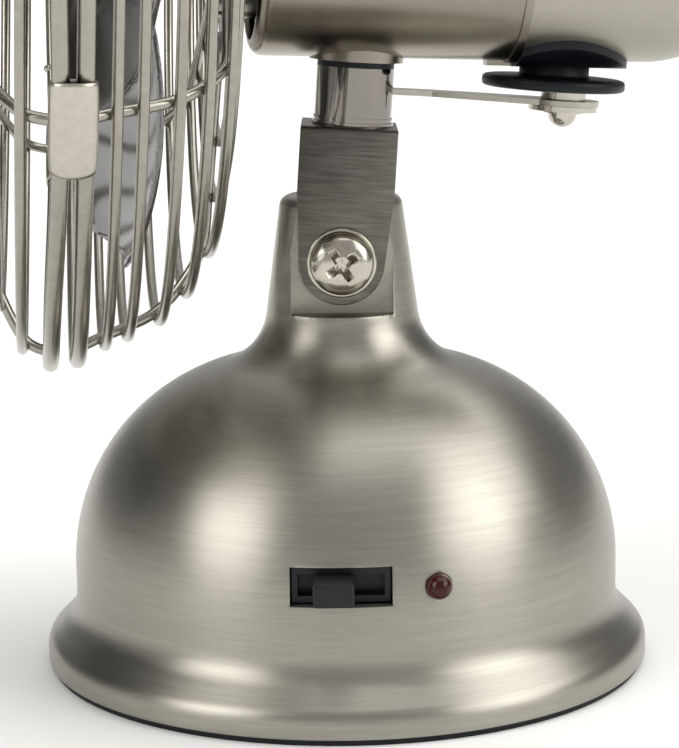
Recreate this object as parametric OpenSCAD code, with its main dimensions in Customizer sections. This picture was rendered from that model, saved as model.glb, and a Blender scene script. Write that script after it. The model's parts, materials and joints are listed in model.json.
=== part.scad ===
// Small metal desk fan: bell base, tilting yoke, swinging motor head, wire guard.
// Frame: +Z up, the air leaves towards -Y, the switch is on the +X side of the base,
// and the origin is the centre of the underside. At rest the head is tipped up and turned
// towards +X, part of the way through its swing.

/* [Base] */
// Radius of the base flange
base_r = 65; // [60:0.5:75]
// Radius of the bell's upright wall
bell_r = 58.5; // [54:0.5:60]
// Height of the top of the neck
neck_top_z = 100.5; // [98:0.5:103]
// Radius of the neck just under its top
neck_top_r = 13.1; // [12.5:0.1:14]
// Thickness of the bell's wall
bell_wall = 1.6; // [1:0.1:2.5]
// Half distance between the two flats that the yoke straddles
flat_x = 9.5; // [9:0.1:10]

/* [Yoke and pivot] */
// Height of the tilt axis
tilt_z = 87; // [86:0.5:88]
// Lean of the yoke at rest, in degrees
tilt_rest = 4.2; // [0:0.1:8]
// Height of the yoke's top face, measured along the yoke
yoke_top_z = 115; // [113:0.5:116]
// Thickness of the yoke's strip
yoke_t = 2; // [1.5:0.1:2.5]
// Offset of the pivot post from the tilt axis, towards the rear
post_y = 0.6; // [0:0.1:1.5]
// Radius of the pivot post
post_r = 8.15; // [7.5:0.05:8.5]
// Height of the post's top face, measured along the yoke
post_top_z = 127.1; // [126:0.1:127.5]

/* [Head] */
// Turn of the head at rest, in degrees
swing_rest = 7; // [0:0.5:12]
// Pitch of the motor against the pivot post, in degrees, nose down
pitch = 1.8; // [0:0.1:3]
// Height of the fan axis above the base at the pivot post
fan_z = 155.5; // [155:0.5:156]
// Radius of the motor housing
motor_r = 26.5; // [26:0.1:27]
// Distance of the housing's front lip from the pivot post
front_y = 23.5; // [22:0.5:25]
// Distance of the joint between the two housing shells from the pivot post
seam_y = 32; // [31:0.5:33]
// Distance of the rear shell's round end centre from the pivot post
dome_y = 60; // [58:0.5:62]

/* [Swing mechanism] */
// Distance of the crank shaft from the pivot post
crank_y = 42.5; // [42:0.1:43]
// Throw of the crank
crank_throw = 8; // [7:0.1:8.5]
// Crank angle at rest, in degrees
crank_rest = 150; // [140:1:160]
// Radius of the crank disc
crank_disc_r = 15.2; // [14:0.1:16]
// Distance of the link's fixed pivot from the pivot post
anchor_r = 14; // [13:0.1:15]
// Teeth of the worm wheel
worm_wheel_teeth = 30; // [30:1:30]
// Teeth of the pinion on the worm wheel's shaft
pinion_teeth = 10; // [10:1:10]
// Teeth of the gear on the crank shaft
crank_gear_teeth = 60; // [60:1:60]

/* [Guard and blades] */
// Radius of the guard's front rim ring
rim_r = 90.8; // [89:0.1:95]
// Diameter of the rim wires
rim_wire = 3.3; // [3:0.1:3.6]
// Diameter of the thin guard wires
thin_wire = 2.2; // [2:0.1:2.6]
// Distance of the front rim ring from the pivot post
rim_y = 64.3; // [63:0.1:66]
// Turn of the guard's support wires and clips about the fan axis, in degrees
guard_turn = 7.4; // [0:0.1:15]
// Radius swept by the blade tips
blade_r = 76; // [70:1:80]
// Distance of the blades' mid plane from the pivot post
blade_y = 52; // [50:0.5:54]

/* [Hidden] */
$fn = 72;
gap = 0.05;
pad_t = 1.2;
plate_t = 1.2;
rear_motor_r = motor_r - 0.3;
shell_t = 1.1;
dome_c = [14.8, 22];
dome_r = bell_r - dome_c[0];
neck_ref_z = 97.9;
neck_slope = atan(0.1366);
fillet_r = 13;
pocket_z = 76;
hollow_z = 72.5;
screw_r = 3;
leg_in = flat_x + 0.2;
leg_out = leg_in + yoke_t;
leg_end_r = 9;
leg_top_w = 20.3;
web_z = yoke_top_z - yoke_t;
bush_r = 5.2;
pin_r = 4;
saddle_r = 9.9;
saddle_z = post_top_z + 1.3;
link_z = 120.8;
link_t = 1.2;
crank_pin_r = 2;
disc_z = 124.6;
disc_t = 2.5;
neck_r = 7.4;
grommet_r = 15.2;
shaft_r = 2.5;
worm_r = 3;
worm_m = 0.6;
worm_bore_r = 1.9;
hub_y = 56;
worm_wheel_r = worm_m * worm_wheel_teeth / 2;
spur_m = 0.5;
crank_gear_r = spur_m * crank_gear_teeth / 2;
pinion_r = spur_m * pinion_teeth / 2;
mesh_x = worm_r + worm_wheel_r;
mesh_y = crank_y + sqrt(pow(crank_gear_r + pinion_r, 2) - pow(mesh_x, 2));
gear_z = 138;
gear_t = 2.4;
// Guard rings, [radius, distance from the pivot post, wire diameter], front to rear
front_rings = [[32.5, 86.5, thin_wire], [45.4, 85, thin_wire], [57.3, 82.6, thin_wire],
               [68.7, 79.2, thin_wire], [79.1, 74.8, thin_wire], [87.8, 70, thin_wire]];
rear_rings = [[87, 53.2, thin_wire], [85.1, 48.6, thin_wire], [81.8, 42, thin_wire],
              [76.1, 36.5, thin_wire], [67.7, 32, thin_wire], [56.2, 30.2, thin_wire],
              [44.6, 29.4, thin_wire]];
rear_rim = [rim_r - 0.8, rim_y - 5.5, rim_wire];
spoke_angles = [for (i = [0:5]) guard_turn - 90 + 60 * i];
clip_angles = [for (i = [0:2]) guard_turn - 30 + 120 * i];
clip_span = 12;
screw_angles = [45, 135, 225, 315];

// ---- frames ----------------------------------------------------------------

// Leans its children with the yoke, about the tilt axis
module in_yoke() {
    translate([0, 0, tilt_z]) rotate([-tilt_rest, 0, 0]) translate([0, 0, -tilt_z]) children();
}

// Turns its children with the head, with the pivot post's axis as their own Z axis
module in_head() {
    in_yoke() translate([0, post_y, 0]) rotate([0, 0, swing_rest]) children();
}

// Places its children on the fan axis: along Y, with the pivot post at y = 0
module in_motor() {
    in_head() translate([0, 0, fan_z]) rotate([pitch, 0, 0]) children();
}

// Places its children on the crank shaft's axis, turned with the crank
module in_crank() {
    in_head() translate([0, crank_y, 0]) rotate([0, 0, crank_rest]) children();
}

// ---- shared shapes ---------------------------------------------------------

module ring(r_out, r_in, h) {
    difference() {
        cylinder(r = r_out, h = h);
        translate([0, 0, -1]) cylinder(r = r_in, h = h + 2);
    }
}

// Ring whose axis is Y, from y to y + len
module ring_y(r_out, r_in, y, len) {
    translate([0, y, 0]) rotate([-90, 0, 0]) ring(r_out, r_in, len);
}

module rod_y(r, y, len) {
    translate([0, y, 0]) rotate([-90, 0, 0]) cylinder(r = r, h = len);
}

// Spur gear blank with trapezoid teeth, one tooth centred on +X
module spur(teeth, m, h, bore_r) {
    root = m * (teeth / 2 - 1.2);
    tip = m * (teeth / 2 + 0.8);
    pitch_a = 360 / teeth;
    difference() {
        union() {
            cylinder(r = root, h = h);
            linear_extrude(h) for (i = [0:teeth - 1]) rotate(i * pitch_a) polygon([
                [root - 0.4, -root * sin(pitch_a * 0.26)], [tip, -tip * sin(pitch_a * 0.1)],
                [tip, tip * sin(pitch_a * 0.1)], [root - 0.4, root * sin(pitch_a * 0.26)]]);
        }
        translate([0, 0, -1]) cylinder(r = bore_r, h = h + 2);
    }
}

// ---- base ------------------------------------------------------------------

function arc(c, r, a0, a1, n) =
    [for (i = [0:n]) let (a = a0 + (a1 - a0) * i / n) c + r * [cos(a), sin(a)]];

neck_n = [cos(neck_slope), sin(neck_slope)];
// The dome and the neck are joined by a hollow fillet, which meets the dome at dome_a degrees
neck_line = neck_top_r * neck_n[0] + neck_ref_z * neck_n[1] + fillet_r;
dome_a = neck_slope + acos((neck_line - dome_c * neck_n) / (dome_r + fillet_r));
fillet_c = dome_c + (dome_r + fillet_r) * [cos(dome_a), sin(dome_a)];

// Half section of the bell above its wall, inset by w, up to a top edge rounded by top_round
function bell_top(w, top_z, top_round) = let (round_z = top_z - top_round,
        edge_r = neck_top_r + (neck_ref_z - round_z) * tan(neck_slope) - w / neck_n[0],
        round_c = [edge_r, round_z] - top_round * neck_n)
    concat(arc(dome_c, dome_r - w, 0, dome_a, 24),
           arc(fillet_c, fillet_r + w, dome_a + 180, neck_slope + 180, 12),
           top_round > 0 ? arc(round_c, top_round, neck_slope, 90, 8) : [[edge_r, top_z]],
           [[0, top_z]]);

// The flange: a rounded shoulder that runs into the wall through a wide cove
shoulder_r = 4.2;
shoulder_z = 4.2;
cove_r = 8;
cove_z = shoulder_z + base_r - bell_r + (shoulder_r + cove_r) * (sqrt(2) - 1);

function flange_edge() = concat([[base_r - 0.5, pad_t], [base_r, pad_t + 0.6]],
    arc([base_r - shoulder_r, shoulder_z], shoulder_r, 0, 45, 8),
    arc([bell_r + cove_r, cove_z], cove_r, 225, 180, 8));

slot_w = 20;
slot_h = 7.6;
slot_y = -1;
slot_z = 29.8;
led_y = 18.1;
led_z = 29.2;
led_r = 2.5;
switch_x = bell_r - 3.2;
gland_z = 21;

module base_shell() {
    plate_step = base_r - 4.4;
    hollow = concat([[plate_step, pad_t], [plate_step, pad_t + plate_t],
                     [bell_r - bell_wall, pad_t + plate_t]], bell_top(bell_wall, hollow_z, 0));
    color([0.66, 0.63, 0.58]) difference() {
        rotate_extrude($fn = 180) polygon(concat(flange_edge(), bell_top(0, neck_top_z, 2.5),
            [for (i = [len(hollow) - 1:-1:0]) hollow[i]]));
        for (s = [0, 1]) mirror([s, 0, 0]) {
            translate([flat_x, -10.75, pocket_z]) cube([10, 21.5, 30]);
            translate([3, 0, tilt_z]) rotate([0, 90, 0]) cylinder(r = screw_r, h = 12);
        }
        translate([0, 0, hollow_z - 1]) cylinder(r = 4, h = 40);
        translate([bell_r - 8, slot_y - slot_w / 2, slot_z - slot_h / 2]) cube([12, slot_w, slot_h]);
        translate([bell_r - 10, led_y, led_z]) rotate([0, 90, 0]) cylinder(r = led_r + gap, h = 12);
        translate([-bell_r - 2, 0, gland_z]) rotate([0, 90, 0]) cylinder(r = 4.5, h = 6);
    }
}

module foot_pad() {
    color([0.05, 0.05, 0.05]) difference() {
        cylinder(r = base_r - 0.9, h = pad_t, $fn = 180);
        translate([0, 0, -1]) cylinder(r = base_r - 12, h = pad_t + 2, $fn = 120);
    }
}

plate_r = base_r - 4.6;
base_screw_r = 48;

module bottom_plate() {
    color([0.55, 0.55, 0.56]) difference() {
        translate([0, 0, pad_t]) cylinder(r = plate_r, h = plate_t, $fn = 120);
        for (a = screw_angles) rotate(a) translate([base_screw_r, 0, 0]) cylinder(r = 1.8, h = 4);
        cylinder(r = 4, h = 5);
    }
}

module ballast_weight() {
    color([0.25, 0.25, 0.26]) difference() {
        translate([0, 0, pad_t + plate_t]) cylinder(r = 52, h = 9, $fn = 96);
        for (a = screw_angles) rotate(a) translate([base_screw_r, 0, 0]) cylinder(r = 1.55, h = 20);
        translate([0, 0, 1]) cylinder(r = 14, h = 20);
    }
}

module base_screws() {
    color([0.7, 0.7, 0.7]) for (a = screw_angles) rotate(a) translate([base_screw_r, 0, 0]) {
        translate([0, 0, pad_t - 1]) difference() {
            cylinder(r = 2.9, h = 1);
            translate([-2, -0.4, -0.5]) cube([4, 0.8, 0.9]);
            translate([-0.4, -2, -0.5]) cube([0.8, 4, 0.9]);
        }
        translate([0, 0, pad_t - 0.01]) cylinder(r = 1.5, h = 8);
    }
}

module switch_body() {
    color([0.08, 0.09, 0.1]) difference() {
        union() {
            translate([switch_x - 6, slot_y - 13, slot_z - 5.5]) cube([3, 26, 11]);
            translate([switch_x - 3, slot_y - 9.6, slot_z - 3.5]) cube([3, 19.2, 7]);
        }
        translate([switch_x - 3, slot_y - 8.5, slot_z - 2.2]) cube([4, 17, 4.4]);
    }
}

// Knob of the slide switch, at its left position
knob_w = 8;
knob_h = 4.7;
knob_x = 64;
knob_y = slot_y - 1.45;

module switch_knob() {
    color([0.08, 0.09, 0.1]) {
        translate([switch_x - 2.6, knob_y - 3.4, slot_z - 1.9]) cube([3, 6.8, 3.8]);
        translate([switch_x + 0.3, knob_y - knob_w / 2, slot_z - knob_h / 2])
            cube([knob_x - switch_x - 0.3, knob_w, knob_h]);
    }
}

led_x = sqrt(pow(bell_r, 2) - pow(led_y, 2));

module led_holder() {
    color([0.1, 0.1, 0.1]) translate([led_x - 8, led_y, led_z]) rotate([0, 90, 0]) difference() {
        union() {
            cylinder(r = 4, h = 2);
            translate([-5, -5, -1.6]) cube([10, 10, 1.6]);
        }
        translate([0, 0, 1]) cylinder(r = led_r + 0.06, h = 3);
    }
}

module led_lens() {
    color([0.35, 0.03, 0.03]) translate([led_x - 7, led_y, led_z]) rotate([0, 90, 0]) {
        cylinder(r = led_r, h = 7);
        translate([0, 0, 7]) intersection() {
            sphere(r = led_r);
            cylinder(r = led_r, h = 3);
        }
    }
}

module cord_gland() {
    color([0.06, 0.06, 0.06]) translate([-bell_r, 0, gland_z]) rotate([0, 90, 0]) difference() {
        union() {
            translate([0, 0, -1.8]) cylinder(r = 5.2, h = 1.75);
            translate([0, 0, -0.2]) cylinder(r = 4.45, h = 2.4);
            translate([0, 0, 2.1]) cylinder(r = 6.2, h = 1.6);
        }
        translate([0, 0, -3]) cylinder(r = 2.9, h = 8);
    }
}

module terminal_block() {
    color([0.85, 0.85, 0.8]) translate([-30, -9, pad_t + plate_t + 9]) difference() {
        cube([12, 18, 9]);
        for (i = [0:2]) translate([6, 3.5 + 5.5 * i, 3]) cylinder(r = 1.6, h = 10);
    }
}

// ---- yoke and pivot --------------------------------------------------------

// Screws on both sides, whose plain shanks carry the yoke
module tilt_screws() {
    color([0.8, 0.79, 0.76]) for (s = [0, 1]) mirror([s, 0, 0]) {
        translate([5, 0, tilt_z]) rotate([0, 90, 0]) cylinder(r = screw_r - gap, h = leg_out + 1 - 5);
        translate([leg_out + 0.9, 0, tilt_z]) rotate([0, 90, 0]) difference() {
            union() {
                cylinder(r = 6.5, h = 1.8);
                translate([0, 0, 1.8]) intersection() {
                    cylinder(r = 6.5, h = 3);
                    translate([0, 0, -7.6]) sphere(r = 10);
                }
            }
            rotate([0, 0, 33]) for (q = [0, 90]) rotate([0, 0, q])
                translate([-3.6, -0.75, 1.6]) cube([7.2, 1.5, 4]);
        }
    }
}

module tilt_washers() {
    color([0.78, 0.77, 0.74]) for (s = [0, 1]) mirror([s, 0, 0])
        translate([leg_out + 0.1, 0, tilt_z]) rotate([0, 90, 0]) ring(7.3, screw_r + 0.2, 0.8);
}

// Outline of one leg, seen along X: [y, z], tapering to a round end on the tilt axis
module leg_outline() {
    circle(r = leg_end_r);
    polygon([[-leg_end_r, 0], [leg_end_r, 0], [leg_top_w / 2, 14], [leg_top_w / 2, yoke_top_z - tilt_z],
             [-leg_top_w / 2, yoke_top_z - tilt_z], [-leg_top_w / 2, 14]]);
}

module yoke_bracket() {
    color([0.55, 0.53, 0.5]) in_yoke() difference() {
        intersection() {
            translate([-leg_out, 0, tilt_z]) rotate([90, 0, 90])
                linear_extrude(2 * leg_out) leg_outline();
            translate([0, 20, 0]) rotate([90, 0, 0]) linear_extrude(40) {
                translate([-leg_out, tilt_z - 20]) square([2 * leg_out, yoke_top_z - tilt_z + 18.5]);
                translate([-leg_out + 1.5, tilt_z]) square([2 * leg_out - 3, yoke_top_z - tilt_z]);
                for (s = [-1, 1]) translate([s * (leg_out - 1.5), yoke_top_z - 1.5]) circle(r = 1.5);
            }
        }
        translate([-leg_in, -20, 0]) cube([2 * leg_in, 40, web_z]);
        for (s = [0, 1]) mirror([s, 0, 0]) translate([5, 0, tilt_z])
            rotate([0, 90, 0]) cylinder(r = screw_r + 0.03, h = 20);
        translate([0, post_y, web_z - 1]) cylinder(r = pin_r + 0.6, h = 5);
    }
}

module pivot_post() {
    color([0.75, 0.73, 0.7]) in_yoke() translate([0, post_y, 0]) difference() {
        union() {
            translate([0, 0, yoke_top_z]) cylinder(r = post_r, h = post_top_z - yoke_top_z);
            translate([0, 0, yoke_top_z]) cylinder(r = post_r + 0.45, h = 0.7);
            translate([0, 0, yoke_top_z + 1.2]) cylinder(r = post_r + 0.25, h = 0.5);
        }
        translate([0, 0, yoke_top_z - 1]) cylinder(r = bush_r, h = 20);
    }
}

module pivot_bush() {
    color([0.7, 0.5, 0.25]) in_yoke() translate([0, post_y, yoke_top_z])
        ring(bush_r - 0.01, pin_r + 0.03, post_top_z - yoke_top_z - 0.2);
}

module thrust_washer() {
    color([0.05, 0.05, 0.06]) in_yoke() translate([0, post_y, post_top_z])
        ring(post_r - 0.05, pin_r + 0.25, saddle_z - post_top_z - 0.05);
}

// Lug on the far side of the post that holds the link's fixed end
module link_anchor() {
    color([0.6, 0.58, 0.55]) in_yoke() translate([0, post_y, link_z - 1.9]) difference() {
        union() {
            translate([-anchor_r, 0, 0]) cylinder(r = 3.2, h = 1.8);
            translate([-anchor_r, -3.2, 0]) cube([anchor_r - 2, 6.4, 1.8]);
        }
        translate([0, 0, -1]) cylinder(r = post_r + 0.01, h = 4);
        translate([-anchor_r, 0, -1]) cylinder(r = 1.5, h = 4);
    }
}

module anchor_rivet() {
    color([0.75, 0.74, 0.72]) in_yoke() translate([-anchor_r, post_y, 0]) {
        translate([0, 0, link_z - 2.6]) cylinder(r = 2.6, h = 0.7);
        translate([0, 0, link_z - 1.95]) cylinder(r = 1.48, h = 1.9 + link_t + 0.15);
        translate([0, 0, link_z + link_t + 0.1]) cylinder(r = 2.8, h = 0.9);
    }
}

// Crank pin at rest, seen from above, about the pivot post
crank_pin = [-crank_y * sin(swing_rest) + crank_throw * cos(crank_rest + swing_rest),
             crank_y * cos(swing_rest) + crank_throw * sin(crank_rest + swing_rest)];

module link_arm() {
    knee = [-anchor_r - 2.6, 17];
    color([0.7, 0.69, 0.66]) in_yoke() translate([0, post_y, link_z]) difference() {
        linear_extrude(link_t) {
            translate([-anchor_r, 0]) circle(r = 3.4);
            translate(knee) circle(r = 3.2);
            translate(crank_pin) circle(r = 7.7);
            polygon([[-anchor_r - 2.8, 0], [-anchor_r + 2.6, 0], knee + [3.2, 0],
                     crank_pin + [6, -3], crank_pin + [-6, -3], knee + [-3.2, 0]]);
        }
        translate([-anchor_r, 0, -1]) cylinder(r = 1.55, h = 4);
        translate([crank_pin[0], crank_pin[1], -1]) cylinder(r = 3.7, h = 4);
    }
}

module pivot_pin() {
    color([0.6, 0.6, 0.6]) in_head() difference() {
        translate([0, 0, 106]) cylinder(r = pin_r, h = 28);
        translate([0, 0, 100]) cylinder(r = 2.2, h = 40);
    }
}

module pivot_washer() {
    color([0.7, 0.7, 0.7]) in_head() translate([0, 0, web_z - 1.15]) ring(7.5, pin_r + 0.05, 1);
}

module pivot_nut() {
    color([0.65, 0.64, 0.6]) in_head() translate([0, 0, web_z - 5.2]) difference() {
        cylinder(r = 6.9, h = 4, $fn = 6);
        translate([0, 0, -1]) cylinder(r = pin_r + 0.02, h = 6);
    }
}

module pivot_saddle() {
    color([0.6, 0.57, 0.52]) difference() {
        in_head() translate([0, 0, saddle_z]) cylinder(r = saddle_r, h = 5);
        in_motor() rod_y(motor_r + 0.02, -30, 60, $fn = 360);
        in_head() cylinder(r = pin_r + 0.05, h = 200);
    }
}

boss_r = 8.5;
boss_h = 6;

module pivot_boss() {
    color([0.5, 0.5, 0.5]) difference() {
        intersection() {
            in_head() translate([0, 0, fan_z - motor_r]) cylinder(r = boss_r, h = boss_h);
            in_motor() rod_y(motor_r - shell_t - 0.05, -20, 40);
        }
        in_head() cylinder(r = pin_r + 0.01, h = 200);
    }
}

// ---- motor head ------------------------------------------------------------

module motor_front_shell() {
    color([0.62, 0.59, 0.54]) difference() {
        in_motor() {
            ring_y(motor_r, motor_r - shell_t, 2.6 - front_y, seam_y + front_y - 2.6);
            translate([0, 2.6 - front_y, 0]) rotate([90, 0, 0]) rotate_extrude($fn = 120) {
                translate([motor_r - 2.6, 0]) intersection() {
                    difference() {
                        circle(r = 2.6);
                        circle(r = 2.6 - shell_t);
                    }
                    translate([0, -0.02]) square(3);
                }
                translate([motor_r - 3.2, 2.6 - shell_t]) square([0.65, shell_t]);
            }
            ring_y(motor_r + 0.45, motor_r - 0.1, seam_y - 1.6, 1.6);
            intersection() {
                ring_y(motor_r + 1.1, motor_r - 0.1, seam_y - 5.4, 5.2);
                translate([-2.2, seam_y - 6, -motor_r - 2]) cube([4.4, 6, 4]);
            }
        }
        in_head() cylinder(r = pin_r + 0.4, h = 140);
    }
}

module motor_rear_shell() {
    color([0.72, 0.69, 0.63]) difference() {
        in_motor() {
            ring_y(rear_motor_r, rear_motor_r - shell_t, seam_y + 0.05, dome_y - seam_y - 0.05);
            translate([0, dome_y, 0]) rotate([-90, 0, 0]) rotate_extrude($fn = 120) intersection() {
                difference() {
                    circle(r = rear_motor_r, $fn = 120);
                    circle(r = rear_motor_r - shell_t, $fn = 120);
                }
                translate([0, -0.02]) square(40);
            }
        }
        in_head() translate([0, crank_y, 100]) cylinder(r = neck_r + 1, h = 40);
        for (a = [0:36:324]) in_motor() rotate([0, a, 0])
            translate([12, 60, -1]) cube([5, 40, 2]);
    }
}

bolt_r = 21.5;
plate_y = 21;

module motor_front_plate() {
    color([0.06, 0.06, 0.07]) in_motor() difference() {
        union() {
            rod_y(motor_r - shell_t - 0.05, -plate_y, 3);
            rod_y(9, -plate_y - 2, 4);
        }
        rod_y(5.02, -30, 20);
        for (a = screw_angles) rotate([0, a, 0]) translate([bolt_r, 0, 0]) rod_y(1.6, -30, 20);
        for (a = [0:90:270]) rotate([0, a, 0]) translate([16, 0, 0]) rod_y(1.25, -30, 20);
    }
}

module motor_rear_plate() {
    color([0.45, 0.45, 0.46]) in_motor() difference() {
        union() {
            rod_y(24.6, 16, 2.5);
            rod_y(9, 16, 5);
        }
        rod_y(5.02, 10, 20);
        for (a = screw_angles) rotate([0, a, 0]) translate([bolt_r, 0, 0]) rod_y(1.6, 10, 20);
    }
}

module front_bearing() {
    color([0.7, 0.5, 0.25]) in_motor() ring_y(5, shaft_r + 0.04, -23, 6);
}

module rear_bearing() {
    color([0.7, 0.5, 0.25]) in_motor() ring_y(5, shaft_r + 0.04, 15.5, 6);
}

module stator_core() {
    color([0.5, 0.5, 0.52]) in_motor() difference() {
        ring_y(24.6, 11.2, -11, 22);
        for (a = screw_angles) rotate([0, a, 0]) translate([bolt_r, 0, 0]) rod_y(1.6, -30, 60);
        for (a = [0:45:315]) rotate([0, a, 0]) translate([10, -12, -1.2]) cube([4.5, 24, 2.4]);
        rotate([-pitch, 0, 0]) translate([0, 0, -motor_r - 1]) cylinder(r = boss_r + 0.4, h = boss_h + 1.4);
    }
}

module stator_coils() {
    color([0.6, 0.3, 0.12]) in_motor() for (y = [-16, 11.1]) ring_y(18.5, 12.6, y, 4.7);
}

module through_bolts() {
    color([0.7, 0.7, 0.7]) in_motor() for (a = screw_angles) rotate([0, a, 0])
        translate([bolt_r, 0, 0]) {
            rod_y(1.5, -plate_y, 41);
            rod_y(2.7, -plate_y - 1.4, 1.4);
            rod_y(2.7, 18.6, 2);
        }
}

// Lower and upper plates that carry the crank shaft and the worm wheel's shaft
frame_z = 135.2;

module gear_frame() {
    color([0.5, 0.5, 0.5]) difference() {
        intersection() {
            in_head() {
                translate([-19, 27, frame_z]) cube([38, 42, 2.2]);
                translate([-18.5, 51, 162]) cube([13, 18, 2]);
                translate([-13, 65.5, frame_z]) cube([7, 3.5, 164 - frame_z]);
            }
            in_motor() {
                rod_y(rear_motor_r - shell_t - 0.1, 20, dome_y - 20, $fn = 180);
                translate([0, dome_y, 0]) sphere(r = rear_motor_r - shell_t - 0.1, $fn = 180);
            }
        }
        in_head() translate([0, crank_y, 100]) cylinder(r = 2.55, h = 60);
        in_head() translate([-mesh_x, mesh_y, 100]) cylinder(r = 1.55, h = 80);
    }
}

// Rubber seal that hugs the rear shell round the crank's neck
module crank_grommet() {
    color([0.04, 0.04, 0.05]) difference() {
        intersection() {
            in_head() translate([0, crank_y, 120]) cylinder(r = grommet_r, h = 40);
            in_motor() rod_y(rear_motor_r + 1.5, seam_y + 0.2, 40);
        }
        in_motor() rod_y(rear_motor_r + 0.02, 20, 60);
        in_head() translate([0, crank_y, 100]) cylinder(r = neck_r + 0.3, h = 60);
        in_head() translate([-30, 20, 140]) cube([60, 60, 40]);
    }
}

// ---- turning parts ---------------------------------------------------------

module rotor_core() {
    color([0.45, 0.45, 0.47]) in_motor() ring_y(10.8, shaft_r + 0.01, -11, 22);
}

module motor_shaft() {
    color([0.75, 0.75, 0.76]) in_motor() {
        rod_y(shaft_r, -hub_y - 10, hub_y + 10 + mesh_y - 6);
        rod_y(worm_bore_r - 0.01, mesh_y - 6.1, 12.1);
    }
}

// Single-start worm: a helical thread on a plain sleeve
module worm() {
    lead = PI * worm_m;
    steps = 24;
    turns = 5;
    root = worm_r - 0.75;
    tip = worm_r + 0.45;
    n = steps * turns;
    w = lead * 0.2;
    pts = [for (i = [0:n]) let (a = i * 360 / steps, y = (i / steps - turns / 2) * lead)
        for (p = [[root, -w], [tip, -w * 0.45], [tip, w * 0.45], [root, w]])
            [p[0] * cos(a), y + p[1], p[0] * sin(a)]];
    sides = [for (i = [0:n - 1]) for (k = [0:3]) let (b = 4 * i, j = (k + 1) % 4)
        each [[b + k, b + 4 + k, b + j], [b + j, b + 4 + k, b + 4 + j]]];
    color([0.72, 0.72, 0.7]) in_motor() translate([0, mesh_y, 0]) difference() {
        union() {
            rod_y(root + 0.1, -5.2, 10.4);
            polyhedron(points = pts, faces = concat(sides, [[0, 1, 2, 3], [4 * n + 3, 4 * n + 2, 4 * n + 1, 4 * n]]));
        }
        rod_y(worm_bore_r, -10, 20);
    }
}

// Worm wheel and pinion on one upright shaft
worm_wheel_z = fan_z + mesh_y * sin(pitch);
mesh_a = atan2(crank_y - mesh_y, mesh_x);

module worm_wheel() {
    color([0.9, 0.88, 0.8]) in_head() translate([-mesh_x, mesh_y, 0]) {
        translate([0, 0, worm_wheel_z - 1.2]) rotate(180 / worm_wheel_teeth)
            spur(worm_wheel_teeth, worm_m, 2.4, 1);
        translate([0, 0, gear_z - 0.4]) rotate(mesh_a) spur(pinion_teeth, spur_m, gear_t + 0.8, 1);
        translate([0, 0, frame_z + 1.1]) cylinder(r = 1.5, h = 162.7 - frame_z);
    }
}

module crank_gear() {
    color([0.9, 0.88, 0.8]) in_head() translate([0, crank_y, gear_z])
        rotate(mesh_a + 180 + 180 / crank_gear_teeth) spur(crank_gear_teeth, spur_m, gear_t, 2.51);
}

module crank_shaft() {
    color([0.7, 0.7, 0.71]) in_head() translate([0, crank_y, disc_z + 1.4])
        cylinder(r = shaft_r, h = gear_z + gear_t + 3 - disc_z - 1.4);
}

module crank_disc() {
    color([0.05, 0.05, 0.06]) in_crank() difference() {
        union() {
            translate([0, 0, disc_z + 0.4]) cylinder(r = crank_disc_r, h = disc_t - 0.8);
            translate([0, 0, disc_z]) cylinder(r = crank_disc_r - 0.4, h = disc_t);
            translate([0, 0, disc_z + disc_t - 0.1]) cylinder(r = neck_r, h = 6);
            translate([crank_throw, 0, disc_z - 0.5]) cylinder(r = 3.5, h = 1);
        }
        translate([0, 0, disc_z + 1.3]) cylinder(r = shaft_r + 0.04, h = 20);
        translate([crank_throw, 0, disc_z - 1]) cylinder(r = crank_pin_r - 0.02, h = disc_t + 0.6);
    }
}

module crank_spacer() {
    color([0.6, 0.59, 0.57]) in_crank() translate([crank_throw, 0, link_z + link_t + 0.08])
        ring(4.9, crank_pin_r + 0.02, disc_z - 0.52 - link_z - link_t - 0.08);
}

module crank_washer() {
    color([0.6, 0.59, 0.57]) in_crank() translate([crank_throw, 0, 0]) {
        translate([0, 0, link_z - 1.18]) ring(7.4, crank_pin_r + 0.02, 1.1);
        translate([0, 0, link_z - 1.7]) ring(4.2, crank_pin_r + 0.02, 0.5);
    }
}

module crank_screw() {
    color([0.75, 0.74, 0.72]) in_crank() translate([crank_throw, 0, 0]) {
        translate([0, 0, link_z - 1.8]) cylinder(r = crank_pin_r, h = disc_z + 1.2 - link_z + 1.8);
        translate([0, 0, link_z - 1.72]) intersection() {
            sphere(r = 3.1);
            translate([0, 0, -5]) cylinder(r = 4, h = 5);
        }
    }
}

// ---- blades ----------------------------------------------------------------

blade_count = 4;
blade_t = 1.1;
blade_root = 8;

// Half width of a blade at u, from 0 at the root to 1 at the tip
function blade_half(u) = 29 * pow(sin(20 + 150 * pow(u, 0.85)), 0.6) * (0.5 + 0.62 * u);
// Point of a blade's middle surface: u runs along its length and v from -1 to 1 across it
function blade_pt(u, v) = let (r = blade_root + (blade_r - blade_root) * u, w = blade_half(u) * v,
        a = w / (r + 16) * 57.3, tilt = 34 - 14 * u)
    [r * cos(a), w * sin(tilt) + 3 * (1 - v * v), r * sin(a)];

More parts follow.
